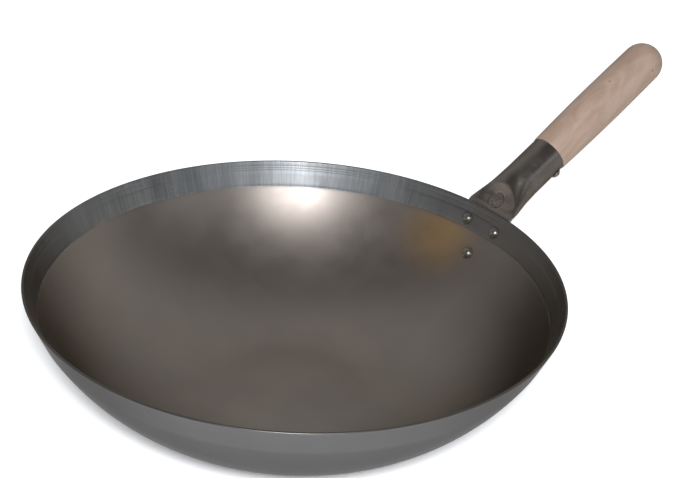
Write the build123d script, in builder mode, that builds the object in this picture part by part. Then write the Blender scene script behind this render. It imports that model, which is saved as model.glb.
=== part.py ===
from build123d import *
from math import asin, copysign, cos, degrees, pi, radians, sin, tan
import os

# Bowl: one disc of carbon steel, with a curved wall, a straight band under the lip and a small flat base
rim_radius = 175.0
bowl_depth = 95.0
bowl_sheet = 1.6
band_length = 20.0  # down the slope, from the lip to the crease
band_angle = 67.5  # degrees above level
base_radius = 60.0
base_angle = 8.7  # degrees above level, where the wall leaves the base
base_corner_share = 0.82  # of the wall's radius, for the round between the base and the wall
lip_round = 0.6

# Socket: a steel tube, pressed flat and bent down at the bowl end, where it follows the wall as a flange
socket_sheet = 1.5
tube_radius = 14.4
handle_rise = 30.7  # degrees above level
root_depth = 1.25  # down the slope, from the lip to where the handle's axis leaves the flange
tube_start = 35.0  # from there to where the tube is round
socket_reach = 65.3  # from there to the mouth
flange_half_width = 21.5
flange_end_radius = 11.0
flange_bend_radius = 10.0
flange_ledge = 0.3  # how far the flange's edge stands out round the flat neck
flange_lap = 4.0  # how far the neck reaches down inside the flange
lap_share = 0.8
press_reach = 20.0

# Neck: its shares of the way to the round tube, how far its height has grown at each, and its top's dish
dish_depth = 5.5
neck_shares = (0.0, 0.13, 0.27, 0.42, 0.58, 0.78, 1.0)
height_shares = (0.0, 0.15, 0.34, 0.56, 0.77, 0.94, 1.0)
dish_shares = (0.0, 0.26, 0.66, 0.95, 0.89, 0.22, 0.0)
neck_narrowing = 1.3
round_squareness = 2.0
flat_squareness = 6.0
side_points = 12
side_parameters = [index / side_points for index in range(side_points + 1)]

# Rivets: three domed ones, two side by side in the band and one under the crease
rivet_spacing = 28.0
rivet_upper_depth = 13.4  # down the slope from the lip
rivet_lower_depth = 36.5
rivet_radius = 2.5
rivet_head_radius = 4.0
rivet_head_height = 2.8
rivet_clearance = 0.06

# Grip: a turned beech dowel, with a tenon in the tube and a domed end
grip_length = 124.2
grip_mouth_radius = 14.9
grip_widest_radius = 16.1
grip_widest_share = 0.58
grip_end_radius = 15.8
grip_shoulder_round = 0.6
tenon_length = 32.0
tenon_clearance = 0.1
tenon_chamfer = 1.5

# Screw: a round-headed wood screw, low on the near side, that holds the tenon in the tube
screw_from_mouth = 7.2
screw_angle = 40.0  # degrees below the handle's near side
screw_radius = 1.9
screw_length = 14.0
screw_tip_length = 4.0
screw_head_radius = 4.0
screw_head_height = 2.4
screw_clearance = 0.1

cut_overrun = 5.0

flange_thickness = 2 * socket_sheet
neck_half_width = flange_half_width - flange_ledge
neck_half_height = socket_sheet - flange_ledge
bore_radius = tube_radius - socket_sheet

# Bowl's outside as a half section: base, wall, crease, band and lip
band_down = Vector(-cos(radians(band_angle)), -sin(radians(band_angle)))
band_out = Vector(sin(radians(band_angle)), -cos(radians(band_angle)))
base_out = Vector(cos(radians(base_angle)), sin(radians(base_angle)))
lip_point = Vector(rim_radius, bowl_depth)
crease_point = lip_point + band_down * band_length

away_side = Plane(origin=(0, 0, 0), x_dir=(-1, 0, 0), z_dir=(0, 1, 0))

with BuildSketch(away_side) as bowl_section:
    with BuildLine():
        Line((0, 0), (base_radius, 0))
        wall_line = TangentArc((base_radius, 0), crease_point, tangent=base_out)
        Line(crease_point, lip_point)
        Line(lip_point, (0, bowl_depth))
        Line((0, bowl_depth), (0, 0))
    make_face()
wall_turn = degrees(wall_line.length / wall_line.radius)


# Flange as a half section: a strip that lies on the outside of the band and the wall
with BuildSketch(away_side) as flange_section:
    with BuildLine():
        Line(lip_point, crease_point)
        add(wall_line)
        outer_radius = wall_line.radius + flange_thickness
        outer_wall = CenterArc(wall_line.arc_center, outer_radius, base_angle - 90, wall_turn)
        Line(wall_line @ 0, outer_wall @ 0)
        outer_crease = crease_point + band_out * flange_thickness
        outer_lip = lip_point + band_out * flange_thickness
        Polyline(outer_wall @ 1, outer_crease, outer_lip, lip_point)
    make_face()


def wall_seat(depth, side=0.0):
    """Plane on the bowl's outside, facing out, at a depth down the slope and a distance to the side."""
    if depth <= band_length:
        point = lip_point + band_down * depth
        down = band_down
    else:
        share = 1 - (depth - band_length) / wall_line.length
        point = wall_line @ share
        down = -(wall_line % share)
    turn = degrees(asin(side / point.X))
    seat = Plane(origin=(point.X, 0, point.Y), x_dir=(0, 1, 0), z_dir=(-down.Y, 0, down.X))
    return Plane(Rot(0, 0, turn) * seat.location)


def turning_plane(seat):
    """Plane through a seat's axis, with local Y along it, for a profile that is turned about the axis."""
    return Plane(origin=seat.origin, x_dir=seat.x_dir, z_dir=-seat.y_dir)


rivet_seats = {
    "rivet_upper_left": wall_seat(rivet_upper_depth, rivet_spacing / 2),
    "rivet_upper_right": wall_seat(rivet_upper_depth, -rivet_spacing / 2),
    "rivet_lower": wall_seat(rivet_lower_depth),
}

# Bowl
with BuildPart() as wok_bowl:
    add(bowl_section.sketch)
    revolve(axis=Axis.Z)
    fillet(wok_bowl.edges().group_by(Axis.Z)[0], base_corner_share * wall_line.radius)
    offset(amount=-bowl_sheet, openings=wok_bowl.faces().sort_by(Axis.Z)[-1])
    fillet(wok_bowl.edges().group_by(Axis.Z)[-1], lip_round)
    with Locations(*[seat.location for seat in rivet_seats.values()]):
        Cylinder(rivet_radius + rivet_clearance, 2 * cut_overrun, mode=Mode.SUBTRACT)
wok_bowl.part.label = "wok_bowl"

# Handle's directions: its axis leaves the middle of the flange, just under the lip
flange_face = wall_seat(0.0)
handle_root = flange_face.origin + flange_face.z_dir * socket_sheet - flange_face.y_dir * root_depth
handle_way = Vector(cos(radians(handle_rise)), 0, sin(radians(handle_rise)))
handle_axis = Axis(handle_root, handle_way)
handle_side = Plane(origin=handle_root, x_dir=handle_way, z_dir=(0, -1, 0))
bend_reach = flange_bend_radius * tan(radians(band_angle - handle_rise) / 2)
bend_depth = root_depth + bend_reach
bend_start = handle_root - flange_face.y_dir * bend_reach
bend_axis = Axis(bend_start + flange_face.z_dir * flange_bend_radius, (0, 1, 0))
flange_bow = flange_half_width**2 * sin(radians(band_angle)) / (2 * rim_radius)


def cross_plane(point, rise):
    """Plane across the socket at a point of its middle line, with local Y up."""
    return Plane(origin=point, x_dir=(0, 1, 0), z_dir=(cos(radians(rise)), 0, sin(radians(rise))))


def pressed_side(half_width, half_height, bow, dish, squareness, first_turn):
    """Upper or lower half of a section: its edges bowed up, and its middle pressed in by the dish."""
    start = (half_width * cos(first_turn), bow)
    end = (-half_width * cos(first_turn), bow)
    points = []
    for index in range(1, side_points):
        turn = first_turn + pi * index / side_points
        across = cos(turn)
        above = copysign((1 - abs(across) ** squareness) ** (1 / squareness), sin(turn))
        lift = bow * across**2 - dish * (1 - across**2)
        points.append((half_width * across, half_height * above + lift))
    climb = half_height * pi * cos(first_turn)
    tangents = [(0, climb), (0, -climb)]
    points = [start, *points, end]
    return Edge.make_spline(points, tangents=tangents, parameters=side_parameters, scale=False)


def pressed_section(plane, half_width, half_height, bow, dish, squareness):
    """Outline of the tube: round at squareness 2, flatter above that, bowed as a whole, its top dished."""
    with BuildSketch(plane) as outline:
        with BuildLine():
            add(pressed_side(half_width, half_height, bow, dish, squareness, 0))
            add(pressed_side(half_width, half_height, bow, 0, squareness, pi))
        make_face()
    return outline.sketch


def neck_section(share, height_share, dish_share, wall=0.0):
    """Outline of the neck at a share of its way to the round tube, as far inside as the wall."""
    reach = bend_reach + share * (tube_start - bend_reach)
    half_width = tube_radius + (neck_half_width - tube_radius) * (1 - share) ** neck_narrowing
    half_height = neck_half_height + (tube_radius - neck_half_height) * height_share
    bow = flange_bow * (1 - share) ** 2
    squareness = round_squareness + (flat_squareness - round_squareness) * (1 - share) ** 4
    plane = cross_plane(handle_root + handle_way * reach, handle_rise)
    dish = dish_depth * dish_share
    return pressed_section(plane, half_width - wall, half_height - wall, bow, dish, squareness)


# Outlines where the flat neck meets the flange: its own, and a smaller one that laps inside the flange
bend_plane = cross_plane(bend_start, band_angle)
neck_outlines = [
    pressed_section(
        bend_plane, neck_half_width * share, neck_half_height * share, flange_bow * share, 0, flat_squareness
    )
    for share in (1, lap_share)
]

# Screw's seat on the tube, facing out
screw_point = handle_root + handle_way * (socket_reach - screw_from_mouth)
screw_cross = cross_plane(screw_point, handle_rise)
screw_turn = radians(180 + screw_angle)
screw_out = screw_cross.x_dir * cos(screw_turn) + screw_cross.y_dir * sin(screw_turn)
screw_seat = Plane(origin=screw_point + screw_out * tube_radius, x_dir=handle_way, z_dir=screw_out)

# Socket: the flange follows the wall, and the neck is lofted from it to the tube
with BuildPart() as handle_socket:
    with BuildSketch(flange_face.offset(-press_reach)):
        with Locations((0, -bend_depth)):
            straight = rivet_upper_depth - bend_depth
            Rectangle(2 * flange_half_width, straight, align=(Align.CENTER, Align.MAX))
        with Locations((0, flange_face.to_local_coords(rivet_seats["rivet_lower"].origin).Y)):
            Circle(flange_end_radius)
        make_hull()
    extrude(amount=2 * press_reach)
    revolve(flange_section.sketch, axis=Axis.Z, mode=Mode.INTERSECT)
    extrude(neck_outlines[1], amount=flange_lap, dir=-flange_face.y_dir)
    revolve(neck_outlines[0], axis=bend_axis, revolution_arc=band_angle - handle_rise)
    neck_stations = list(zip(neck_shares, height_shares, dish_shares))
    neck = [neck_section(*station) for station in neck_stations]
    loft(neck)
    extrude(neck[-1], amount=socket_reach - tube_start)
    cavity = [neck_section(*station, socket_sheet) for station in neck_stations[1:]]
    loft(cavity, mode=Mode.SUBTRACT)
    extrude(cavity[-1], amount=socket_reach - tube_start + cut_overrun, mode=Mode.SUBTRACT)
    with Locations(*[seat.location for seat in rivet_seats.values()]):
        Cylinder(rivet_radius + rivet_clearance, 2 * press_reach, mode=Mode.SUBTRACT)
    with Locations(screw_seat.location):
        Cylinder(screw_radius + screw_clearance, 2 * cut_overrun, mode=Mode.SUBTRACT)
handle_socket.part.label = "handle_socket"

# Rivets: a domed head inside, a shank through the wall and the flange, and a domed head outside
rivets = []
inner_face = -bowl_sheet - rivet_clearance
outer_face = flange_thickness + rivet_clearance
for name, seat in rivet_seats.items():
    with BuildPart() as rivet:
        with BuildSketch(turning_plane(seat)):
            with BuildLine():
                outer_top = (0, outer_face + rivet_head_height)
                inner_top = (0, inner_face - rivet_head_height)
                outer_dome = TangentArc(outer_top, (rivet_head_radius, outer_face), tangent=(1, 0))
                inner_dome = TangentArc(inner_top, (rivet_head_radius, inner_face), tangent=(1, 0))
                Line(inner_top, outer_top)
                shank_top = (rivet_radius, outer_face)
                shank_end = (rivet_radius, inner_face)
                Polyline(outer_dome @ 1, shank_top, shank_end, inner_dome @ 1)
            make_face()
        revolve(axis=Axis(seat.origin, seat.z_dir))
    rivet.part.label = name
    rivets.append(rivet)

# Grip
dome_start = socket_reach + grip_length - grip_end_radius
widest_at = socket_reach + grip_widest_share * (grip_length - grip_end_radius)
tenon_start = socket_reach - tenon_length
tenon_radius = bore_radius - tenon_clearance

with BuildPart() as wood_grip:
    with BuildSketch(handle_side):
        with BuildLine():
            shoulder = TangentArc(
                (socket_reach + grip_shoulder_round, grip_mouth_radius),
                (socket_reach, grip_mouth_radius - grip_shoulder_round),
                tangent=(-1, 0),
            )
            Spline(shoulder @ 0, (widest_at, grip_widest_radius), (dome_start, grip_end_radius))
            grip_end = (dome_start + grip_end_radius, 0)
            TangentArc(grip_end, (dome_start, grip_end_radius), tangent=(0, 1))
            Polyline(
                grip_end,
                (tenon_start, 0),
                (tenon_start, tenon_radius - tenon_chamfer),
                (tenon_start + tenon_chamfer, tenon_radius),
                (socket_reach, tenon_radius),
                shoulder @ 1,
            )
        make_face()
    revolve(axis=handle_axis)
    with Locations(screw_seat.location):
        Cylinder(screw_radius + screw_clearance, 2 * (screw_length + screw_clearance), mode=Mode.SUBTRACT)
wood_grip.part.label = "wood_grip"

# Screw
with BuildPart() as grip_screw:
    with BuildSketch(turning_plane(screw_seat)):
        with BuildLine():
            head_top = (0, screw_clearance + screw_head_height)
            head_dome = TangentArc(head_top, (screw_head_radius, screw_clearance), tangent=(1, 0))
            Polyline(
                head_top,
                (0, -screw_length),
                (screw_radius, screw_tip_length - screw_length),
                (screw_radius, screw_clearance),
                head_dome @ 1,
            )
        make_face()
    revolve(axis=Axis(screw_seat.origin, screw_seat.z_dir))
grip_screw.part.label = "grip_screw"

os.makedirs("parts", exist_ok=True)
for piece in [wok_bowl, handle_socket, *rivets, wood_grip, grip_screw]:
    export_step(piece.part, f"parts/{piece.part.label}.step")
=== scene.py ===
from math import asin, atan2, copysign, cos, exp, hypot, pi, radians, sin, sqrt, tan

import bpy
from mathutils import Euler, Matrix, Vector


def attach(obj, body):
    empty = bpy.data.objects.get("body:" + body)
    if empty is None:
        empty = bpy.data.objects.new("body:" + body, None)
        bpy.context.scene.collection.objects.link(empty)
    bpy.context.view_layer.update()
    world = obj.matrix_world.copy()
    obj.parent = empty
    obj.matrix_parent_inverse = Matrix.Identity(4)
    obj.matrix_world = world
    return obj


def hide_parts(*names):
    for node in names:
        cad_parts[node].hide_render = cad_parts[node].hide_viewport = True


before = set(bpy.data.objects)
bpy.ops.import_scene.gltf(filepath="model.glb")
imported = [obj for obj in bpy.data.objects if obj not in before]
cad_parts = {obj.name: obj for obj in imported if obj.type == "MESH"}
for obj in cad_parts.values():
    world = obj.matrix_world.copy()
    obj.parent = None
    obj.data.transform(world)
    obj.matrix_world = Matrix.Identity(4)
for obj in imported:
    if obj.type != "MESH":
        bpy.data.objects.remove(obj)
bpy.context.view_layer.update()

# Camera
# It stands on the near side of the wok, at arm's length, and looks down into the bowl with the handle to the
# right. The photograph is tipped a few degrees, so the camera leans.
rim_height = 0.095
camera_distance = 0.7818
camera_rise = radians(29.17)
camera_bearing = radians(-128.2)
camera_lean = Euler((radians(1.487), radians(-1.995), radians(3.188)))
focal_pixels = 1200
frame_width_pixels = 680
nearest_seen = 0.01
rim_middle = Vector((0, 0, rim_height))


def towards(bearing, rise):
    """Direction with a bearing from the handle's way and a rise above level."""
    return Vector((cos(rise) * cos(bearing), cos(rise) * sin(bearing), sin(rise)))


level_look = Euler((pi / 2 - camera_rise, 0, camera_bearing + pi / 2)).to_matrix()
bpy.ops.object.camera_add(location=rim_middle + towards(camera_bearing, camera_rise) * camera_distance)
camera = bpy.context.object
camera.rotation_euler = (level_look @ camera_lean.to_matrix()).to_euler()
camera.data.lens = camera.data.sensor_width * focal_pixels / frame_width_pixels
camera.data.clip_start = nearest_seen
bpy.context.scene.camera = camera
bpy.context.scene.view_settings.view_transform = "Standard"

# Studio
# A pale floor runs out of sight under a pale sky, darker overhead and above the camera, as in a room with
# its windows ahead. A small lamp stands right above the camera, and a broad, weak one low on the right.
pale = (0.93, 0.935, 0.94, 1)
white = (1, 1, 1, 1)
sky_light = 0.4
sky_shade = 0.22
window_edge = (-0.05, 0.35)
horizon_edge = (0.05, 0.4)
floor_size = 12
floor_roughness = 0.9
floor_glow_near = 0.02
floor_glow_far = 0.75
glow_behind = (-0.45, 0.7)
glow_around = (0.4, 1.8)
away_from_camera = -towards(camera_bearing, 0)


def surface(name, metallic):
    """New material with its tree, its shader and the place on the piece."""
    material = bpy.data.materials.new(name)
    material.use_nodes = True
    tree = material.node_tree
    shader = tree.nodes["Principled BSDF"]
    shader.inputs["Metallic"].default_value = metallic
    return material, tree, shader, tree.nodes.new("ShaderNodeTexCoord").outputs["Object"]


def feed(tree, sockets, values):
    """Each value put on its socket: a number, a colour or a vector is set, and a socket is linked."""
    for socket, value in zip(sockets, values):
        if isinstance(value, bpy.types.NodeSocket):
            tree.links.new(value, socket)
        else:
            socket.default_value = value


def maths(tree, operation, first, second=0):
    """Math node on sockets or numbers."""
    node = tree.nodes.new("ShaderNodeMath")
    node.operation = operation
    feed(tree, node.inputs, (first, second))
    return node.outputs[0]


def measure(tree, operation, place, other=(0, 0, 0)):
    """Length of a place, or its dot product with or distance from a fixed vector."""
    node = tree.nodes.new("ShaderNodeVectorMath")
    node.operation = operation
    feed(tree, node.inputs, (place, other))
    return node.outputs["Value"]


def upward(tree, place):
    """Z of a place or a direction."""
    node = tree.nodes.new("ShaderNodeSeparateXYZ")
    tree.links.new(place, node.inputs[0])
    return node.outputs["Z"]


def between(tree, value, low, high, to_low=0, to_high=1):
    """Value spread from one range to another, held at both ends, with a soft start and end."""
    node = tree.nodes.new("ShaderNodeMapRange")
    node.interpolation_type = "SMOOTHSTEP"
    titles = ("Value", "From Min", "From Max", "To Min", "To Max")
    feed(tree, [node.inputs[title] for title in titles], (value, low, high, to_low, to_high))
    return node.outputs["Result"]


def seen_or_mirrored(tree):
    """1 for what the camera sees directly, in a reflection or through glass, and 0 for light on surfaces."""
    path = tree.nodes.new("ShaderNodeLightPath").outputs
    mirrored = maths(tree, "MAXIMUM", path["Is Glossy Ray"], path["Is Transmission Ray"])
    return maths(tree, "MAXIMUM", path["Is Camera Ray"], mirrored)


world = bpy.data.worlds.new("studio_sky")
bpy.context.scene.world = world
world.use_nodes = True
tree = world.node_tree
sky = tree.nodes["Background"]
sky.inputs["Color"].default_value = pale
direction = tree.nodes.new("ShaderNodeTexCoord").outputs["Generated"]
window_side = between(tree, measure(tree, "DOT_PRODUCT", direction, away_from_camera), *window_edge)
near_horizon = between(tree, upward(tree, direction), *horizon_edge, to_low=1, to_high=0)
shade = between(tree, maths(tree, "MAXIMUM", window_side, near_horizon), 0, 1, to_low=sky_shade)
seen = seen_or_mirrored(tree)
straight = tree.nodes.new("ShaderNodeLightPath").outputs["Is Camera Ray"]
shown = maths(tree, "MAXIMUM", straight, maths(tree, "MULTIPLY", seen, shade))
lit = between(tree, seen, 0, 1, to_low=sky_light, to_high=0)
tree.links.new(maths(tree, "ADD", shown, lit), sky.inputs["Strength"])

bpy.ops.object.select_all(action="DESELECT")
bpy.ops.mesh.primitive_plane_add(size=floor_size, location=(0, 0, 0))
floor = bpy.context.object
floor.name = "floor"
floor_paint, tree, paint, place = surface("floor_paint", metallic=0)
paint.inputs["Base Color"].default_value = pale
paint.inputs["Roughness"].default_value = floor_roughness
paint.inputs["Specular IOR Level"].default_value = 0
paint.inputs["Emission Color"].default_value = white
beyond = measure(tree, "DOT_PRODUCT", place, away_from_camera)
far_side = between(tree, beyond, *glow_behind, floor_glow_near, floor_glow_far)
far_away = between(tree, measure(tree, "LENGTH", place), *glow_around, to_high=floor_glow_far)
glow = maths(tree, "MAXIMUM", far_side, far_away)
tree.links.new(maths(tree, "MULTIPLY", glow, seen_or_mirrored(tree)), paint.inputs["Emission Strength"])
floor.data.materials.append(floor_paint)


def lamp(name, bearing, rise, distance, size, power, colour):
    """Square lamp that faces the middle of the rim."""
    direction = towards(bearing, rise)
    bpy.ops.object.light_add(type="AREA", location=rim_middle + direction * distance)
    light = bpy.context.object
    light.name = name
    light.rotation_euler = direction.to_track_quat("Z", "Y").to_euler()
    light.data.size = size
    light.data.energy = power
    light.data.color = colour


lamp(
    "camera_lamp", bearing=camera_bearing + radians(1.5), rise=radians(34), distance=0.95,
    size=0.10, power=12, colour=(0.95, 0.965, 1),
)
lamp(
    "side_lamp", bearing=camera_bearing + radians(62), rise=radians(25), distance=1.3,
    size=0.35, power=1.0, colour=(0.85, 0.92, 1),
)

# Bowl
# One disc of carbon steel, spun over a form: a small flat base, a curved wall, and a straight band above a
# crease. The lip is trimmed and its edge broken. Spinning leaves fine lines round the bowl.
rim_radius = 0.175
bowl_sheet = 0.0016
band_length = 0.020
band_angle = radians(67.5)
base_radius = 0.060
base_angle = radians(8.7)
base_corner_share = 0.82
lip_round = 0.0006
lip_inner_turns = (157.5, 135, 112, 90)
lip_outer_turns = (90, 62, 34, 6, -22.5)
crease_groove = 0.00012
crease_half_width = 0.0005
scribe_depths = (0.0044, 0.0062, 0.0078)
scribe_groove = 0.00007
scribe_width = 0.00055
floor_shares = (0.02, 0.25, 0.5, 0.75, 0.92)
band_inside_shares = (0.12, 0.3, 0.45)
band_outside_shares = (0.08, 0.3, 0.6, 0.9, 0.98)
under_lip = (0.0022, 0.0012)
corner_steps = 20
wall_steps = 44
bowl_turns = 288
rivet_spacing = 0.028
rivet_upper_depth = 0.0134
rivet_lower_depth = 0.0365
rivet_head_radius = 0.004
rivet_places = {
    "rivet_upper_left": (rivet_upper_depth, rivet_spacing / 2),
    "rivet_upper_right": (rivet_upper_depth, -rivet_spacing / 2),
    "rivet_lower": (rivet_lower_depth, 0),
}

band_up = Vector((cos(band_angle), sin(band_angle)))
lip_point = Vector((rim_radius, rim_height))
crease_point = lip_point - band_up * band_length

# The wall's arc would meet the base's edge at a known angle, and ends at the crease. A wide round, with a
# share of the wall's radius, lies between it and the base and touches both.
chord = crease_point - Vector((base_radius, 0))
chord_angle = atan2(chord.y, chord.x)
wall_radius = chord.length / (2 * sin(chord_angle - base_angle))
wall_middle = Vector((base_radius, 0)) + wall_radius * Vector((-sin(base_angle), cos(base_angle)))
wall_angle = 2 * chord_angle - base_angle
corner_radius = base_corner_share * wall_radius
corner_rise = wall_middle.y - corner_radius
corner_start = wall_middle.x + sqrt((wall_radius - corner_radius) ** 2 - corner_rise**2)
corner_angle = atan2(corner_start - wall_middle.x, corner_rise)


def arc(middle, radius, first, last, steps):
    """Points on an arc, where an angle is the slope of the arc's tangent above level."""
    return [
        middle + radius * Vector((sin(turn), -cos(turn)))
        for turn in (first + (last - first) * step / steps for step in range(steps + 1))
    ]


def scribe(depth):
    """Points, from below, of a shallow line scribed into the inside of the band at a depth under the lip."""
    inside = lip_point - band_up * depth + bowl_sheet * Vector((-band_up.y, band_up.x))
    into = Vector((band_up.y, -band_up.x)) * scribe_groove
    return [inside - band_up * scribe_width / 2, inside + into, inside + band_up * scribe_width / 2]


def bowl_outline():
    """Half section of the sheet, from the middle of the inside over the lip to the middle of the outside."""
    corner_middle = Vector((corner_start, corner_radius))
    inward = Vector((-band_up.y, band_up.x))
    crease_inside = crease_point + inward * bowl_sheet
    inner_edge = Vector((rim_radius - bowl_sheet / sin(band_angle), rim_height))
    inner_round = inner_edge + Vector((lip_round / tan((pi - band_angle) / 2), -lip_round))
    outer_round = Vector((rim_radius - lip_round / tan(band_angle / 2), rim_height - lip_round))
    floor_inside = [Vector((share * corner_start, bowl_sheet)) for share in floor_shares]
    corner_inside = arc(corner_middle, corner_radius - bowl_sheet, 0, corner_angle, corner_steps)
    wall_inside = arc(wall_middle, wall_radius - bowl_sheet, corner_angle, wall_angle, wall_steps)
    crease = [
        crease_inside - band_up * crease_half_width,
        crease_inside - inward * crease_groove,
        crease_inside + band_up * crease_half_width,
    ]
    band_inside = [crease_inside + band_up * band_length * share for share in band_inside_shares]
    scribes = [point for depth in reversed(scribe_depths) for point in scribe(depth)]
    above = [inner_edge - band_up * reach for reach in under_lip]
    lip = [
        middle + lip_round * Vector((cos(turn), sin(turn)))
        for middle, turns in ((inner_round, lip_inner_turns), (outer_round, lip_outer_turns))
        for turn in (radians(degrees) for degrees in turns)
    ]
    band_outside = [lip_point - band_up * band_length * share for share in band_outside_shares]
    wall_outside = arc(wall_middle, wall_radius, wall_angle, corner_angle, wall_steps)
    corner_outside = arc(corner_middle, corner_radius, corner_angle, 0, corner_steps)
    floor_outside = [Vector((share * corner_start, 0)) for share in reversed(floor_shares)]
    inside = floor_inside + corner_inside + wall_inside[1:-1] + crease + band_inside + scribes + above
    return inside + lip + band_outside + wall_outside + corner_outside[1:] + floor_outside


def turned(name, outline, turns):
    """Closed shape turned about Z: a ring drawn out through the outline's points, with its ends filled."""
    bpy.ops.object.select_all(action="DESELECT")
    start = outline[0]
    bpy.ops.mesh.primitive_circle_add(vertices=turns, radius=start.x, location=(0, 0, start.y))
    piece = bpy.context.object
    bpy.ops.object.transform_apply(location=True)
    bpy.ops.object.mode_set(mode="EDIT")
    bpy.ops.mesh.select_all(action="SELECT")
    bpy.ops.mesh.edge_face_add()
    bpy.ops.mesh.select_all(action="SELECT")
    for before, after in zip(outline, outline[1:]):
        bpy.ops.mesh.extrude_region_move(TRANSFORM_OT_translate={"value": (0, 0, after.y - before.y)})
        scale = after.x / before.x
        bpy.ops.transform.resize(value=(scale, scale, 1), center_override=(0, 0, after.y))
    bpy.ops.mesh.select_all(action="SELECT")
    bpy.ops.mesh.region_to_loop()
    bpy.ops.mesh.edge_face_add()
    bpy.ops.mesh.select_all(action="SELECT")
    bpy.ops.mesh.normals_make_consistent(inside=False)
    bpy.ops.object.mode_set(mode="OBJECT")
    piece.name = name
    piece.data.name = name
    return piece


bowl = turned("bowl", bowl_outline(), bowl_turns)
bpy.ops.object.shade_smooth_by_angle(angle=radians(50))


def node_group(name, inputs, outputs):
    """Empty shader group with named inputs, each with its usual value, and named outputs."""
    group = bpy.data.node_groups.new(name, "ShaderNodeTree")
    for title, kind, value in inputs:
        socket = group.interface.new_socket(title, in_out="INPUT", socket_type=kind)
        socket.default_value = value
    for title, kind in outputs:
        group.interface.new_socket(title, in_out="OUTPUT", socket_type=kind)
    return group, group.nodes.new("NodeGroupInput").outputs, group.nodes.new("NodeGroupOutput").inputs


def vector(tree, x, y, z):
    """Vector put together from three sockets or numbers."""
    node = tree.nodes.new("ShaderNodeCombineXYZ")
    feed(tree, node.inputs, (x, y, z))
    return node.outputs[0]


def mapped(tree, place, scale=(1, 1, 1), turn=(0, 0, 0)):
    """Place turned and stretched for a pattern."""
    node = tree.nodes.new("ShaderNodeMapping")
    feed(tree, [node.inputs[title] for title in ("Vector", "Rotation", "Scale")], (place, turn, scale))
    return node.outputs[0]


def noise(tree, place, scale, detail=3, rough=0.5, distort=0):
    """Noise from 0 to 1 at a place."""
    node = tree.nodes.new("ShaderNodeTexNoise")
    titles = ("Vector", "Scale", "Detail", "Roughness", "Distortion")
    feed(tree, [node.inputs[title] for title in titles], (place, scale, detail, rough, distort))
    return node.outputs["Fac"]


def blend_colour(tree, share, first, second, mode="MIX"):
    """Colour between two, by a share."""
    node = tree.nodes.new("ShaderNodeMix")
    node.data_type = "RGBA"
    node.blend_type = mode
    feed(tree, (node.inputs[0], node.inputs[6], node.inputs[7]), (share, first, second))
    return node.outputs[2]


def toned(tree, colour, tone, share=1):
    """Colour made lighter or darker by a tone."""
    return blend_colour(tree, share, colour, vector(tree, tone, tone, tone), "MULTIPLY")


def hairline_group():
    """Thin, slightly bent scratches in all directions, rare or dense as asked."""
    tilts = (0.3, 1.4, 2.5)
    drawn_out = (1, 0.16, 1)
    line_rough, line_width = 0.4, 0.006
    patch_scale, patch_step, patch_edge = 26, 9, 0.08
    group, given, result = node_group(
        "hairline_scratches",
        [
            ("Vector", "NodeSocketVector", (0, 0, 0)),
            ("Size", "NodeSocketFloat", 60),
            ("Rarity", "NodeSocketFloat", 0.6),
        ],
        [("Mask", "NodeSocketFloat")],
    )
    place, rarity = given["Vector"], given["Rarity"]
    total = 0
    for index, tilt in enumerate(tilts):
        laid = mapped(group, place, drawn_out, (tilt, tilt * 0.7, tilt * 1.9))
        lines = noise(group, laid, given["Size"], detail=1, rough=line_rough)
        off_line = maths(group, "ABSOLUTE", maths(group, "SUBTRACT", lines, 0.5))
        thin = between(group, off_line, 0, line_width, to_low=1, to_high=0)
        where = noise(group, place, patch_scale + patch_step * index, detail=2)
        kept = between(group, where, rarity, maths(group, "ADD", rarity, patch_edge))
        total = maths(group, "MAXIMUM", total, maths(group, "MULTIPLY", thin, kept))
    group.links.new(total, result["Mask"])
    return group


def turning_group():
    """Fine uneven lines that spinning leaves round an axis, and the way round and up to a place."""
    near_axis = 0.001
    group, given, result = node_group(
        "turning_lines",
        [("Vector", "NodeSocketVector", (0, 0, 0)), ("Lines", "NodeSocketFloat", 900)],
        [("Height", "NodeSocketFloat"), ("Around", "NodeSocketVector")],
    )
    apart = group.nodes.new("ShaderNodeSeparateXYZ")
    group.links.new(given["Vector"], apart.inputs[0])
    x, y, z = apart.outputs
    squares = maths(group, "ADD", maths(group, "POWER", x, 2), maths(group, "POWER", y, 2))
    radius = maths(group, "SQRT", squares)
    span = maths(group, "ADD", radius, near_axis)
    x_share, y_share = maths(group, "DIVIDE", x, span), maths(group, "DIVIDE", y, span)
    line_count = maths(group, "MULTIPLY", maths(group, "ADD", radius, z), given["Lines"])
    lines = noise(group, vector(group, line_count, x_share, y_share), 1, detail=4, rough=0.6)
    group.links.new(lines, result["Height"])
    group.links.new(vector(group, x_share, y_share, z), result["Around"])
    return group


scratches = hairline_group()
turning = turning_group()


def place_group(tree, group, place, **values):
    """Outputs of a group placed in a material, with its place and its own values."""
    node = tree.nodes.new("ShaderNodeGroup")
    node.node_tree = group
    tree.links.new(place, node.inputs["Vector"])
    for title, value in values.items():
        node.inputs[title].default_value = value
    return node.outputs


def bump(tree, height, distance, before=None):
    """Bump of a real height in metres, on top of another one."""
    node = tree.nodes.new("ShaderNodeBump")
    node.inputs["Strength"].default_value = 1
    node.inputs["Distance"].default_value = distance
    tree.links.new(height, node.inputs["Height"])
    if before is not None:
        tree.links.new(before, node.inputs["Normal"])
    return node.outputs["Normal"]


def wall_seat(depth, side):
    """Frame on the bowl's outside, with its Z out of the wall, at a depth under the lip and a way aside."""
    if depth <= band_length:
        point, slope = lip_point - band_up * depth, band_angle
    else:
        slope = wall_angle - (depth - band_length) / wall_radius
        point = wall_middle + wall_radius * Vector((sin(slope), -cos(slope)))
    turn = asin(side / point.x)
    tilt = Matrix.Rotation(pi - slope, 4, "Y")
    return Matrix.Rotation(turn, 4, "Z") @ Matrix.Translation((point.x, 0, point.y)) @ tilt


edge_steel = (0.38, 0.37, 0.36, 1)


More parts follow.
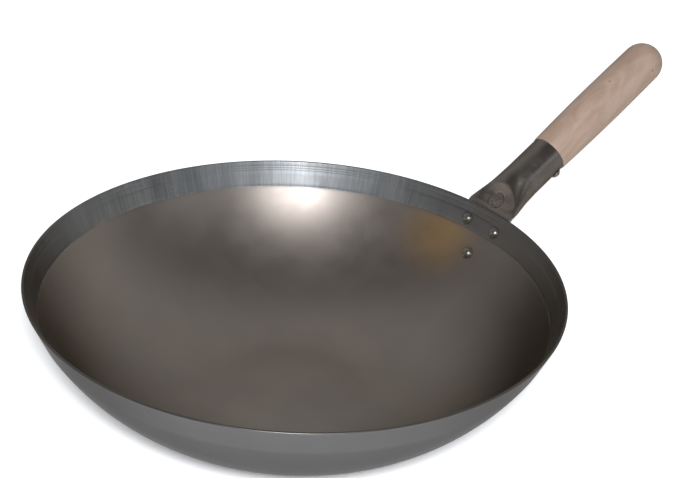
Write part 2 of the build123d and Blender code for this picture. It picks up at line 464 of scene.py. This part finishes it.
def spun_steel():
    """Carbon steel as the lathe leaves it: warm and dull inside; the band is painted lighter, colder and
    streaked at the back as painted light, and darker elsewhere as painted shade.
    """
    inside_steel = (0.165, 0.145, 0.129, 1)
    outside_steel = (0.158, 0.156, 0.156, 1)
    cloudy_steel = (0.115, 0.106, 0.098, 1)
    shaded_band_steel = (0.082, 0.077, 0.072, 1)
    lit_band_steel = (0.130, 0.136, 0.140, 1)
    amber_reflection_steel = (0.34, 0.225, 0.115, 1)
    rivet_shade_steel = (0.03, 0.028, 0.026, 1)
    bright_line = (0.4, 0.39, 0.38, 1)
    turned_over = 0.05
    crease_blend = (-0.0002, 0.0006)
    spinning_lines = 2600
    cloud_scale, cloud_range, cloud_share = 9, (0.35, 0.7), 0.3
    back_side, back_range = (0.4, 0.92, 0), (0.2, 0.85)
    reflection_middle = (0.157, 0.030, 0.066)
    reflection_core, reflection_radius, reflection_share = 0.003, 0.042, 0.85
    shaded_rise, shaded_way = (0.008, 0.058), (-0.3, 0.8)
    near_wall_shade, far_wall_light = 0.4, 1.2
    fine_stretch, fine_range, fine_tones = (110, 110, 30), (0.3, 0.72), (0.86, 1.2)
    wide_scale, wide_range, wide_tones = 7, (0.3, 0.7), (0.82, 1.16)
    hair_size, hair_rarity, hair_share = 70, 0.72, 0.2
    glint_scale, glint_range = 800, (0.46, 0.7)
    glint_part_scale, glint_part_range = 5, (0.48, 0.62)
    glint_width, glint_share = (0.0002, 0.0009), 0.6
    rivet_shade_width, rivet_shade_share = 0.0018, 0.65
    mirrored_gain = 5
    dull_scale, dull_range, roughnesses, streak_roughness = 40, (0.3, 0.7), (0.38, 0.43), 0.07
    grain_scale, grain_depth, scratch_depth = 900, 0.000012, 0.00002
    material, tree, shader, place = surface("spun_steel", metallic=1)
    lines = place_group(tree, turning, place, Lines=spinning_lines)
    around = lines["Around"]
    height = upward(tree, place)
    normal = tree.nodes.new("ShaderNodeNewGeometry").outputs["Normal"]
    inside = between(tree, upward(tree, normal), -turned_over, turned_over)
    above_crease = between(tree, height, *(crease_point.y + part for part in crease_blend))
    band = maths(tree, "MULTIPLY", above_crease, inside)
    below_band = maths(tree, "SUBTRACT", 1, band)
    to_back = measure(tree, "DOT_PRODUCT", around, back_side)
    behind = between(tree, to_back, *back_range)

    colour = blend_colour(tree, inside, outside_steel, inside_steel)
    clouds = noise(tree, place, cloud_scale, detail=3, rough=0.55)
    cloud = between(tree, clouds, *cloud_range, to_high=cloud_share)
    colour = blend_colour(tree, cloud, colour, cloudy_steel)
    # Painted light and shade: the band is lighter and colder at the back of the bowl, and darker round the
    # rest.
    colour = blend_colour(tree, band, colour, blend_colour(tree, behind, shaded_band_steel, lit_band_steel))
    # Painted reflection: an amber patch on the wall beside the rivets stands for something warm mirrored in
    # the steel.
    from_reflection = measure(tree, "DISTANCE", place, reflection_middle)
    amber_reflection = between(tree, from_reflection, reflection_core, reflection_radius, to_low=reflection_share, to_high=0)
    colour = blend_colour(tree, maths(tree, "MULTIPLY", amber_reflection, below_band), colour, amber_reflection_steel)

    # Painted shade and light: the upper wall is darker towards the near side of the rim, and lighter across
    # from it.
    upper = maths(tree, "MULTIPLY", between(tree, height, *shaded_rise), below_band)
    upper = maths(tree, "MULTIPLY", upper, inside)
    painted_shading = maths(tree, "SUBTRACT", between(tree, to_back, *shaded_way, near_wall_shade, far_wall_light), 1)
    colour = toned(tree, colour, maths(tree, "ADD", maths(tree, "MULTIPLY", upper, painted_shading), 1))

    # Upright streaks, fine and wide, cross the back of the band: its fine fluting, painted as streaks of
    # light and shade where the highlight falls.
    fine_noise = noise(tree, mapped(tree, around, fine_stretch), 1, detail=4, rough=0.7)
    fine_streaks = between(tree, fine_noise, *fine_range, *fine_tones)
    wide_streaks = between(tree, noise(tree, around, wide_scale, detail=2), *wide_range, *wide_tones)
    streaked = maths(tree, "MULTIPLY", band, behind)
    colour = toned(tree, colour, maths(tree, "MULTIPLY", fine_streaks, wide_streaks), streaked)

    # Hairline scratches lie all over. The crease carries bright dots of painted glint in parts, and a ring
    # of painted shade lies round each rivet where its head meets the wall.
    hair = place_group(tree, scratches, place, Size=hair_size, Rarity=hair_rarity)["Mask"]
    colour = blend_colour(tree, maths(tree, "MULTIPLY", hair, hair_share), colour, bright_line)
    # Painted glints: bright dots along the crease, in some stretches round the bowl.
    crease_line = crease_point.y + crease_blend[1]
    off_crease = maths(tree, "ABSOLUTE", maths(tree, "SUBTRACT", height, crease_line))
    crease_glints = between(tree, noise(tree, place, glint_scale, detail=4, rough=0.8), *glint_range)
    glint_part = between(tree, noise(tree, around, glint_part_scale, detail=1), *glint_part_range)
    crease_glints = maths(tree, "MULTIPLY", crease_glints, glint_part)
    glint_line = between(tree, off_crease, *glint_width, to_low=glint_share, to_high=0)
    crease_glints = maths(tree, "MULTIPLY", glint_line, crease_glints)
    colour = blend_colour(tree, maths(tree, "MULTIPLY", crease_glints, inside), colour, bright_line)
    # Painted shade: a dark ring on the wall round each rivet head.
    for depth, side in rivet_places.values():
        to_rivet = measure(tree, "DISTANCE", place, wall_seat(depth, side).translation)
        rivet_shade_edge = rivet_head_radius + rivet_shade_width
        rivet_shade = between(tree, to_rivet, rivet_head_radius, rivet_shade_edge, to_low=rivet_shade_share, to_high=0)
        colour = blend_colour(tree, rivet_shade, colour, rivet_shade_steel)

    # Where the bowl mirrors itself, its steel counts as lighter, so that the flat base doesn't turn dark.
    mirrored = tree.nodes.new("ShaderNodeLightPath").outputs["Is Glossy Ray"]
    colour = toned(tree, colour, between(tree, mirrored, 0, 1, to_low=1, to_high=mirrored_gain))
    tree.links.new(colour, shader.inputs["Base Color"])
    shader.inputs["Specular Tint"].default_value = edge_steel

    dull_noise = noise(tree, place, dull_scale, detail=3, rough=0.6)
    dull = between(tree, dull_noise, *dull_range, *roughnesses)
    dull = maths(tree, "ADD", dull, maths(tree, "MULTIPLY", streaked, streak_roughness))
    tree.links.new(dull, shader.inputs["Roughness"])
    shader.inputs["Anisotropic"].default_value = 0.15
    shader.inputs["Anisotropic Rotation"].default_value = 0.25
    flow = tree.nodes.new("ShaderNodeTangent")
    flow.direction_type = "RADIAL"
    flow.axis = "Z"
    tree.links.new(flow.outputs[0], shader.inputs["Tangent"])
    relief = bump(tree, lines["Height"], grain_depth)
    relief = bump(tree, noise(tree, place, grain_scale, detail=2, rough=0.6), grain_depth, relief)
    relief = bump(tree, maths(tree, "SUBTRACT", 1, hair), scratch_depth, relief)
    tree.links.new(relief, shader.inputs["Normal"])
    return material


bowl.data.materials.append(spun_steel())
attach(bowl, "root")
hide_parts("wok_bowl")

# Socket
# A steel tube that holds the grip. Its other end is pressed flat in a die, which leaves a dish in its top,
# then bent down over the outside of the wall, where it ends as a round-tipped flange.
socket_sheet = 0.0015
tube_radius = 0.0144
handle_rise = radians(30.7)
root_depth = 0.00125
tube_start = 0.035
socket_reach = 0.0653
bore_depth = 0.0615
mouth_break = 0.0003
flange_half_width = 0.0215
flange_end_radius = 0.011
flange_bend_radius = 0.010
flange_taper_share = 0.92
flange_last_share = 0.9999
neck_narrowing = 1.3
neck_rounding = 1.12
flat_squareness = 6
press_flat_share = 0.2
press_climb = 0.043
press_curve = 1.5
press_crest = 0.003
press_ridge = 0.0016
mark_reach = 0.0085
mark_radius = 0.0062
mark_depth = 0.0004
mark_ring_width = 0.0005
mark_dots = 8
mark_dot_share = 0.6
mark_dot_width = 0.0008
mark_middle_width = 0.0012
socket_turns = 192
skin_steps = 220
bore_steps = 24
merged_within = 0.000005

band_out = Vector((band_up.y, -band_up.x))
handle_way = Vector((cos(handle_rise), sin(handle_rise)))
handle_root = lip_point + band_out * socket_sheet - band_up * root_depth
bend_reach = flange_bend_radius * tan((band_angle - handle_rise) / 2)
bend_start = handle_root - band_up * bend_reach
bend_middle = bend_start + band_out * flange_bend_radius
bend_length = flange_bend_radius * (band_angle - handle_rise)
flat_start = root_depth + bend_reach
band_run = band_length - flat_start
wall_run = rivet_lower_depth + flange_end_radius - band_length
flange_bow = flange_half_width**2 * sin(band_angle) / (2 * rim_radius)


def middle_line(reach):
    """Point and rise of the socket's middle line, where reach falls from the mouth to the flange's tip."""
    if reach >= bend_reach:
        return handle_root + handle_way * reach, handle_rise
    beyond = bend_reach - reach
    if beyond <= bend_length:
        rise = handle_rise + beyond / flange_bend_radius
        return bend_middle - flange_bend_radius * Vector((sin(rise), -cos(rise))), rise
    beyond -= bend_length
    if beyond <= band_run:
        return bend_start - band_up * beyond, band_angle
    rise = wall_angle - (beyond - band_run) / (wall_radius + socket_sheet)
    return wall_middle + (wall_radius + socket_sheet) * Vector((sin(rise), -cos(rise))), rise


def flange_width(reach):
    """Half width of the flange: straight beside the upper rivets, then drawn in to its round tip."""
    depth = flat_start + bend_reach - reach - bend_length
    if depth <= rivet_upper_depth:
        return flange_half_width
    drawn_in = (flange_half_width - flange_end_radius) / (rivet_lower_depth - rivet_upper_depth)
    side_turn = asin(drawn_in * flange_taper_share)
    tangent_depth = rivet_lower_depth + flange_end_radius * sin(side_turn)
    tangent_width = flange_end_radius * cos(side_turn)
    if depth <= tangent_depth:
        share = (depth - rivet_upper_depth) / (tangent_depth - rivet_upper_depth)
        return flange_half_width + (tangent_width - flange_half_width) * share
    past = min((depth - rivet_lower_depth) / flange_end_radius, flange_last_share)
    return flange_end_radius * sqrt(1 - past**2)


def die_mark(reach, side):
    """Depth of the round die mark in the flat of the neck: a ring round eight dots and a middle one."""
    away = hypot(reach - mark_reach, side)
    turn = atan2(side, reach - mark_reach)
    ring = exp(-(((away - mark_radius) / mark_ring_width) ** 2))
    off_dots = (away - mark_radius * mark_dot_share) / mark_dot_width
    dots = exp(-(off_dots**2)) * max(cos(mark_dots * turn), 0)
    middle = exp(-((away / mark_middle_width) ** 2))
    return mark_depth * max(ring, dots, middle)


def socket_section(reach, wall):
    """Half width, half height, bow, pressed height and squareness at a reach, as far inside as the wall."""
    share = min(max((reach - bend_reach) / (tube_start - bend_reach), 0), 1)
    half_width = tube_radius + (flange_width(reach) - tube_radius) * (1 - share) ** neck_narrowing
    half_height = socket_sheet + (tube_radius - socket_sheet) * sin(share**neck_rounding * pi / 2)
    pressed = socket_sheet + press_climb * max(share - press_flat_share, 0) ** press_curve
    bow = flange_bow * (half_width / flange_half_width) ** 2 * (1 - share) ** 2
    squareness = 2 + (flat_squareness - 2) * (1 - share) ** 4
    return half_width - wall, half_height - wall, bow, pressed - wall, squareness


def socket_point(reach, wall, turn):
    """Point of the socket's skin, where turn goes round the section from its left edge over the top."""
    half_width, half_height, bow, pressed, squareness = socket_section(reach, wall)
    across = cos(turn)
    up = half_height * copysign((1 - abs(across) ** squareness) ** (1 / squareness), sin(turn))
    excess = max(up - pressed - press_crest * across**4, 0)
    up += bow * across**2 - excess**2 / (excess + press_ridge)
    if sin(turn) > 0 and not wall:
        up -= die_mark(reach, half_width * across)
    middle, rise = middle_line(reach)
    place = middle + up * Vector((-sin(rise), cos(rise)))
    return Vector((place.x, half_width * across, place.y))


tip_reach = bend_reach - bend_length - band_run - wall_run
skin_length = socket_reach - mouth_break - tip_reach
bore_start = socket_reach - mouth_break
socket_rows = [(tip_reach + skin_length * step / skin_steps, 0) for step in range(skin_steps + 1)]
socket_rows += [(socket_reach, mouth_break), (socket_reach, socket_sheet - mouth_break)]
for step in range(bore_steps + 1):
    socket_rows.append((bore_start - bore_depth * step / bore_steps, socket_sheet))

bpy.ops.object.select_all(action="DESELECT")
bpy.ops.mesh.primitive_grid_add(x_subdivisions=socket_turns, y_subdivisions=len(socket_rows) - 1, size=2)
socket = bpy.context.object
socket.name = "socket"
for vertex in socket.data.vertices:
    row = round((vertex.co.y + 1) / 2 * (len(socket_rows) - 1))
    reach, wall = socket_rows[row]
    vertex.co = socket_point(reach, wall, -(vertex.co.x + 1) * pi)
bpy.ops.object.mode_set(mode="EDIT")
bpy.ops.mesh.select_all(action="SELECT")
bpy.ops.mesh.remove_doubles(threshold=merged_within)
bpy.ops.mesh.region_to_loop()
bpy.ops.mesh.edge_face_add()
bpy.ops.mesh.select_all(action="SELECT")
bpy.ops.mesh.normals_make_consistent(inside=False)
bpy.ops.object.mode_set(mode="OBJECT")
bpy.ops.object.shade_smooth_by_angle(angle=radians(40))


def rolled_steel():
    """Hot-rolled tube steel: brown-grey mill scale, rubbed brighter on the pressed edges."""
    scale_steel = (0.115, 0.10, 0.088, 1)
    patchy_steel = (0.16, 0.15, 0.14, 1)
    pressed_steel = (0.15, 0.124, 0.108, 1)
    rubbed_steel = (0.30, 0.285, 0.265, 1)
    patch_scale, patch_range, patch_share = 70, (0.35, 0.7), 0.45
    face_core, face_radius, face_share = 0.005, 0.016, 0.75
    edge_range, edge_share = (0.52, 0.60), 0.7
    hair_size, hair_rarity, hair_share = 160, 0.55, 0.4
    roughnesses = (0.34, 0.42)
    pit_scale, pit_depth, patch_depth = 600, 0.00002, 0.00004
    material, tree, shader, place = surface("rolled_steel", metallic=1)
    patches = between(tree, noise(tree, place, patch_scale, detail=4, rough=0.6, distort=0.4), *patch_range)
    colour = blend_colour(tree, maths(tree, "MULTIPLY", patches, patch_share), scale_steel, patchy_steel)
    to_face = measure(tree, "DISTANCE", place, socket_point(mark_reach, 0, pi / 2))
    face = between(tree, to_face, face_core, face_radius, to_low=face_share, to_high=0)
    colour = blend_colour(tree, face, colour, pressed_steel)
    sharpness = tree.nodes.new("ShaderNodeNewGeometry").outputs["Pointiness"]
    edges = maths(tree, "MULTIPLY", between(tree, sharpness, *edge_range), edge_share)
    hair = place_group(tree, scratches, place, Size=hair_size, Rarity=hair_rarity)["Mask"]
    bright = maths(tree, "MAXIMUM", edges, maths(tree, "MULTIPLY", hair, hair_share))
    colour = blend_colour(tree, bright, colour, rubbed_steel)
    tree.links.new(colour, shader.inputs["Base Color"])
    tree.links.new(between(tree, patches, 0, 1, *roughnesses), shader.inputs["Roughness"])
    shader.inputs["Specular Tint"].default_value = edge_steel
    relief = bump(tree, noise(tree, place, pit_scale, detail=3, rough=0.6), pit_depth)
    relief = bump(tree, patches, patch_depth, relief)
    tree.links.new(relief, shader.inputs["Normal"])
    return material


socket.data.materials.append(rolled_steel())
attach(socket, "root")
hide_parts("handle_socket")

# Rivets
# Three domed steel rivets hold the flange to the wall, two in the band and one under the crease. Each has a
# head inside and one closed outside, and its shank fills the holes.
rivet_radius = 0.0025
rivet_head_height = 0.0028
rivet_dome_steps = 9
rivet_turns = 48
dome_foot_share = 0.985
dome_foot_rise = 0.05
flange_thickness = 2 * socket_sheet


def domed(radius, height, base, steps):
    """Outline of a low dome on a flat base, from its edge to its top, with a broken edge."""
    ball = (radius**2 + height**2) / (2 * height)
    half_turn = asin(radius / ball)
    turns = [half_turn * (1 - step / steps) for step in range(1, steps)]
    foot = [Vector((radius * dome_foot_share, base)), Vector((radius, base + height * dome_foot_rise))]
    return foot + [Vector((ball * sin(turn), base + height - ball + ball * cos(turn))) for turn in turns]


def rivet_outline():
    """Half section of a rivet, from the top of its inner head to the top of its outer head."""
    inner = domed(rivet_head_radius, rivet_head_height, bowl_sheet, rivet_dome_steps)
    outer = domed(rivet_head_radius, rivet_head_height, flange_thickness, rivet_dome_steps)
    flipped = [Vector((point.x, -point.y)) for point in reversed(inner)]
    return flipped + [Vector((rivet_radius, -bowl_sheet)), Vector((rivet_radius, flange_thickness))] + outer


def rivet_steel():
    """Drawn steel, dark and a little pitted by the closing tool."""
    dark_steel = (0.10, 0.094, 0.088, 1)
    light_steel = (0.17, 0.162, 0.152, 1)
    pit_scale, pit_range, roughnesses = 900, (0.3, 0.7), (0.44, 0.34)
    dent_scale, dent_depth = 1500, 0.00003
    material, tree, shader, place = surface("rivet_steel", metallic=1)
    pits = between(tree, noise(tree, place, pit_scale, detail=3, rough=0.6), *pit_range)
    tree.links.new(blend_colour(tree, pits, dark_steel, light_steel), shader.inputs["Base Color"])
    tree.links.new(between(tree, pits, 0, 1, *roughnesses), shader.inputs["Roughness"])
    dents = noise(tree, place, dent_scale, detail=2)
    tree.links.new(bump(tree, dents, dent_depth), shader.inputs["Normal"])
    return material


fastener_steel = rivet_steel()
for node, (depth, side) in rivet_places.items():
    rivet = turned(node + "_head", rivet_outline(), rivet_turns)
    bpy.ops.object.shade_smooth_by_angle(angle=radians(40))
    rivet.data.transform(wall_seat(depth, side))
    rivet.data.materials.append(fastener_steel)
    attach(rivet, "root")
    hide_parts(node)

# Grip
# A beech dowel, turned with a slight swell, a domed end and a tenon that fits the tube. It is sanded and
# left bare, so its figure, short dark flecks and two pin knots show.
grip_length = 0.1242
grip_mouth_radius = 0.0149
grip_widest_radius = 0.0161
grip_widest_share = 0.58
grip_end_radius = 0.0158
grip_shoulder = 0.0006
shoulder_break = 0.3 * grip_shoulder
tenon_length = 0.032
tenon_gap = 0.0001
tenon_radius = tube_radius - socket_sheet - tenon_gap
tenon_chamfer = 0.0015
pole_radius = 0.0002
pin_knots = ((0.285, -0.0038, 0.1758), (0.3195, -0.0154, 0.1823))
swell_steps = 40
dome_steps = 20
grip_turns = 96

handle_turn = Matrix.Rotation(pi / 2 - handle_rise, 4, "Y")
handle_start = Vector((handle_root.x, 0, handle_root.y))
along_handle = Matrix.Translation(handle_start) @ handle_turn


def grip_radius(share):
    """Radius of the grip at a share of its length before the dome: it swells, then narrows a little."""
    rising = share / grip_widest_share
    falling = (share - grip_widest_share) / (1 - grip_widest_share)
    if share < grip_widest_share:
        return grip_mouth_radius + (grip_widest_radius - grip_mouth_radius) * (2 * rising - rising**2)
    return grip_widest_radius + (grip_end_radius - grip_widest_radius) * falling**2


def grip_outline():
    """Half section of the grip along the handle, from the tenon's end to the domed end."""
    body = grip_length - grip_end_radius
    tenon_end = socket_reach - tenon_length
    outline = [
        Vector((pole_radius, tenon_end)),
        Vector((tenon_radius - tenon_chamfer, tenon_end)),
        Vector((tenon_radius, tenon_end + tenon_chamfer)),
        Vector((tenon_radius, socket_reach)),
        Vector((grip_mouth_radius - grip_shoulder, socket_reach)),
        Vector((grip_mouth_radius - shoulder_break, socket_reach + shoulder_break)),
    ]
    for step in range(swell_steps + 1):
        share = (grip_shoulder + (body - grip_shoulder) * step / swell_steps) / body
        outline.append(Vector((grip_radius(share), socket_reach + share * body)))
    for step in range(1, dome_steps):
        turn = pi / 2 * step / dome_steps
        along = socket_reach + body + grip_end_radius * sin(turn)
        outline.append(Vector((grip_end_radius * cos(turn), along)))
    return outline + [Vector((pole_radius, socket_reach + grip_length))]


grip = turned("grip", grip_outline(), grip_turns)
bpy.ops.object.shade_smooth_by_angle(angle=radians(40))
grip.data.transform(along_handle)


def beech():
    """Bare beech: pale pinkish brown, with soft growth figure, short dark flecks and a dry surface."""
    figure_dark = (0.275, 0.190, 0.137, 1)
    figure_light = (0.35, 0.252, 0.195, 1)
    fibre_brown = (0.36, 0.24, 0.165, 1)
    halo_brown = (0.38, 0.27, 0.16, 1)
    fleck_brown = (0.10, 0.06, 0.035, 1)
    figure_way, figure_scale, figure_range, figure_bend = (1, 1, 0.38), 48, (0.3, 0.7), 2.2
    fibre_way, fibre_scale, fibre_range, fibre_share = (1, 1, 0.06), 1400, (0.45, 0.8), 0.35
    fleck_way, fleck_scale, fleck_radii = (1, 1, 0.35), 130, (0.03, 0.07)
    fleck_patch_scale, fleck_patch_range = 38, (0.64, 0.68)
    halo_core, halo_radius, halo_share = 0.0008, 0.006, 0.35
    knot_core, knot_radius, knot_share = 0.0003, 0.0012, 0.85
    dull_range, roughnesses = (0.3, 0.7), (0.55, 0.68)
    fibre_depth = 0.00004
    material, tree, shader, place = surface("bare_beech", metallic=0)
    laid = mapped(tree, place, turn=(0, handle_rise - pi / 2, 0))
    figure = noise(tree, mapped(tree, laid, figure_way), figure_scale, detail=3, distort=figure_bend)
    colour = blend_colour(tree, between(tree, figure, *figure_range), figure_dark, figure_light)
    fibres = noise(tree, mapped(tree, laid, fibre_way), fibre_scale, detail=3, rough=0.6)
    dark_fibres = between(tree, fibres, *fibre_range, to_high=fibre_share)
    colour = blend_colour(tree, dark_fibres, colour, fibre_brown)
    flecks = tree.nodes.new("ShaderNodeTexVoronoi")
    flecks.inputs["Scale"].default_value = fleck_scale
    tree.links.new(mapped(tree, laid, fleck_way), flecks.inputs["Vector"])
    spots = between(tree, flecks.outputs["Distance"], *fleck_radii, to_low=1, to_high=0)
    rare = between(tree, noise(tree, laid, fleck_patch_scale, detail=1), *fleck_patch_range)
    colour = blend_colour(tree, maths(tree, "MULTIPLY", spots, rare), colour, fleck_brown)
    for middle in pin_knots:
        to_knot = measure(tree, "DISTANCE", place, middle)
        halo = between(tree, to_knot, halo_core, halo_radius, to_low=halo_share, to_high=0)
        colour = blend_colour(tree, halo, colour, halo_brown)
        knot = between(tree, to_knot, knot_core, knot_radius, to_low=knot_share, to_high=0)
        colour = blend_colour(tree, knot, colour, fleck_brown)
    tree.links.new(colour, shader.inputs["Base Color"])
    tree.links.new(between(tree, fibres, *dull_range, *roughnesses), shader.inputs["Roughness"])
    tree.links.new(bump(tree, fibres, fibre_depth), shader.inputs["Normal"])
    return material


grip.data.materials.append(beech())
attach(grip, "root")
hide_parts("wood_grip")

# Screw
# A round-headed steel wood screw with a plain slot. It goes through the tube low on its near side, just
# behind the mouth, and pins the tenon.
screw_from_mouth = 0.0072
screw_angle = radians(40)
screw_radius = 0.0019
screw_length = 0.014
screw_tip_length = 0.004
screw_head_radius = 0.004
screw_head_width = 2 * screw_head_radius
screw_head_height = 0.0024
screw_slot_width = 0.0009
screw_slot_depth = 0.0011
screw_dome_steps = 10

screw_outline = [
    Vector((pole_radius, -screw_length)),
    Vector((screw_radius, screw_tip_length - screw_length)),
    Vector((screw_radius, 0)),
]
screw_outline += domed(screw_head_radius, screw_head_height, 0, screw_dome_steps)
screw = turned("screw", screw_outline, rivet_turns)
bpy.ops.object.select_all(action="DESELECT")
bpy.ops.mesh.primitive_cube_add(size=1, location=(0, 0, screw_head_height))
slot_cutter = bpy.context.object
slot_cutter.scale = (2 * screw_head_width, screw_slot_width, 2 * screw_slot_depth)
bpy.ops.object.transform_apply(scale=True)
bpy.ops.object.select_all(action="DESELECT")
screw.select_set(True)
bpy.context.view_layer.objects.active = screw
cut = screw.modifiers.new("slot", "BOOLEAN")
cut.object = slot_cutter
bpy.ops.object.modifier_apply(modifier="slot")
bpy.data.objects.remove(slot_cutter)
bpy.ops.object.shade_smooth_by_angle(angle=radians(35))
screw_place = Matrix.Translation((0, 0, socket_reach - screw_from_mouth))
outward = Vector((sin(screw_angle), -cos(screw_angle), 0))
lie_out = outward.to_track_quat("Z", "Y").to_matrix().to_4x4()
screw.data.transform(along_handle @ screw_place @ Matrix.Translation(outward * tube_radius) @ lie_out)
screw.data.materials.append(fastener_steel)
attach(screw, "root")
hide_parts("grip_screw")
